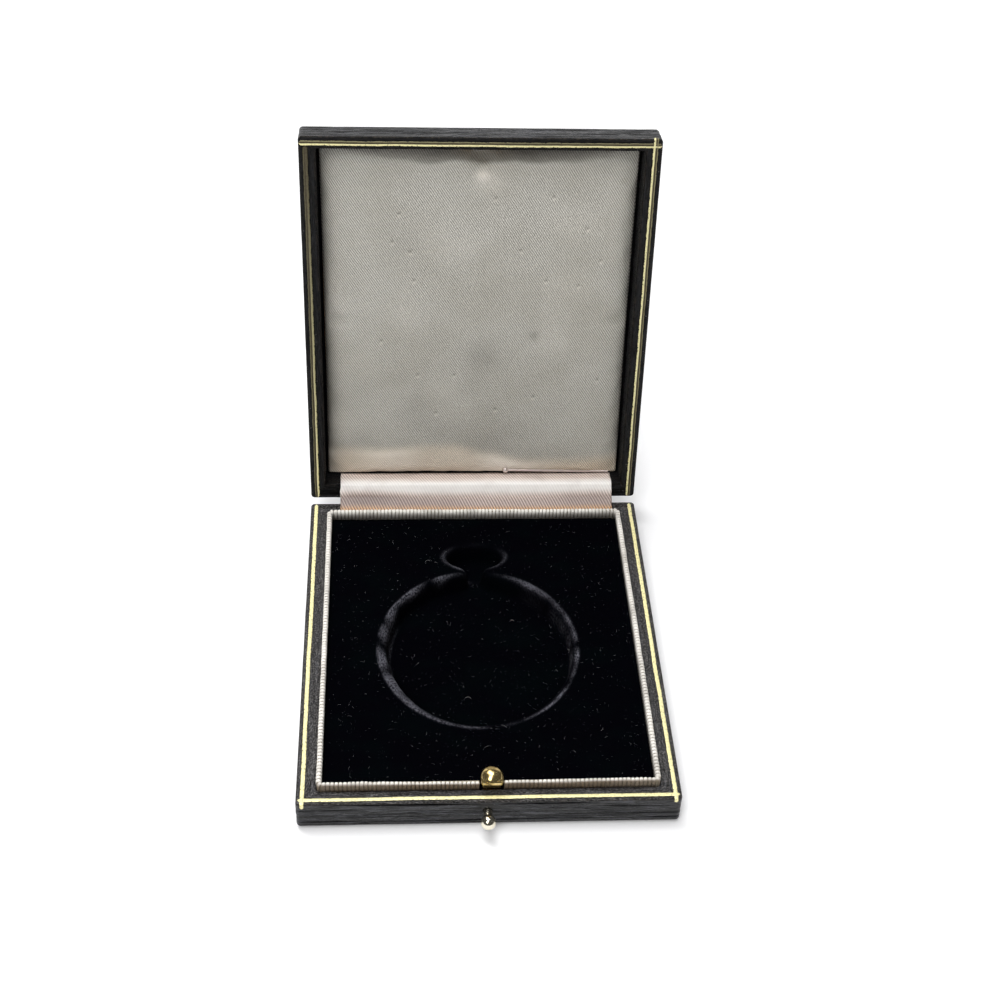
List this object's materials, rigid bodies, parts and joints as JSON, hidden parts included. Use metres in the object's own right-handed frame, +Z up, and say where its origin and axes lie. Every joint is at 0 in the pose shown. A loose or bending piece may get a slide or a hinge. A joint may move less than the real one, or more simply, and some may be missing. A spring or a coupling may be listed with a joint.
{
  "type": "pocket watch display box",
  "caption": "Shallow leather-covered presentation box for a pocket watch, with a padded lid on hinges, a velvet bed with a round well and a push-pin catch.",
  "frame": {"origin": "centre of the base's underside", "axes": "+X to the box's right seen from the front, +Y to the back where the lid is hinged, +Z up"},
  "size_m": [0.092, 0.1394, 0.1144],
  "materials": {
    "leather_black": "long-grain black leather, satin",
    "gilt": "gilt foil, bright",
    "card": "matt card",
    "paper_dark": "matt black paper",
    "wood_case": "plain limewood",
    "wood_bed": "plain softwood",
    "ribbed_ribbon": "cream ribbed ribbon",
    "velvet_black": "black velvet",
    "satin_ivory": "ivory twill satin",
    "satin_pink": "pinkish ivory satin ribbon",
    "wadding": "cotton wadding",
    "brass": "polished, lightly worn",
    "brass_plain": "plain, dull",
    "spring_steel": "spring temper",
    "pin_steel": "bright plated steel"
  },
  "bodies": {
    "base": {"base_underside_sheet": "paper_dark", "base_floor_board": "card", "base_rail_front": "wood_case", "base_rail_back": "wood_case", "base_rail_left": "wood_case", "base_rail_right": "wood_case", "base_leather_cover": "leather_black", "base_gilt_line": "gilt", "lip_card": "card", "lip_ribbed_trim": "ribbed_ribbon", "bed_block": "wood_bed", "velvet_lining": "velvet_black", "catch_bracket": "brass_plain", "catch_pivot_pin": "pin_steel", "catch_return_spring": "spring_steel", "catch_rivets": "brass_plain", "button_bush": "brass_plain", "hinge_leaf_base_left": "brass_plain", "hinge_leaf_base_right": "brass_plain", "hinge_pin_left": "pin_steel", "hinge_pin_right": "pin_steel", "hinge_nails_base": "brass_plain", "hinge_ribbon": "satin_pink"},
    "lid": {"lid_top_board": "wood_case", "lid_rail_front": "wood_case", "lid_rail_back": "wood_case", "lid_rail_left": "wood_case", "lid_rail_right": "wood_case", "lid_leather_cover": "leather_black", "lid_gilt_lines": "gilt", "lid_pad_board": "card", "lid_pad_wadding": "wadding", "lid_satin_lining": "satin_ivory", "keeper_plate": "brass_plain", "keeper_nails": "brass_plain", "hinge_leaf_lid_left": "brass_plain", "hinge_leaf_lid_right": "brass_plain", "hinge_nails_lid": "brass_plain", "lining_pin": "pin_steel"},
    "button": {"push_button": "brass"},
    "catch": {"catch_hook": "brass"}
  },
  "joints": [
    {"name": "lid_hinge", "type": "hinge", "parent": "base", "child": "lid", "pos_m": [0, 0.054, 0.00907], "axis": [1, 0, 0], "range_deg": [0, 100], "deforming": ["hinge_ribbon"]},
    {"name": "button_press", "type": "slide", "parent": "base", "child": "button", "axis": [0, 1, 0], "range_m": [0, 0.0008], "stiffness_N_per_m": 800, "springref_m": -0.001},
    {"name": "catch_swing", "type": "hinge", "parent": "base", "child": "catch", "pos_m": [0.0005, -0.04835, 0.0025], "axis": [-1, 0, 0], "range_deg": [0, 14], "deforming": ["catch_return_spring"]}
  ],
  "couplings": [
    {"joint": "catch_swing", "follows": "button_press", "rad_per_m": 303.03}
  ]
}
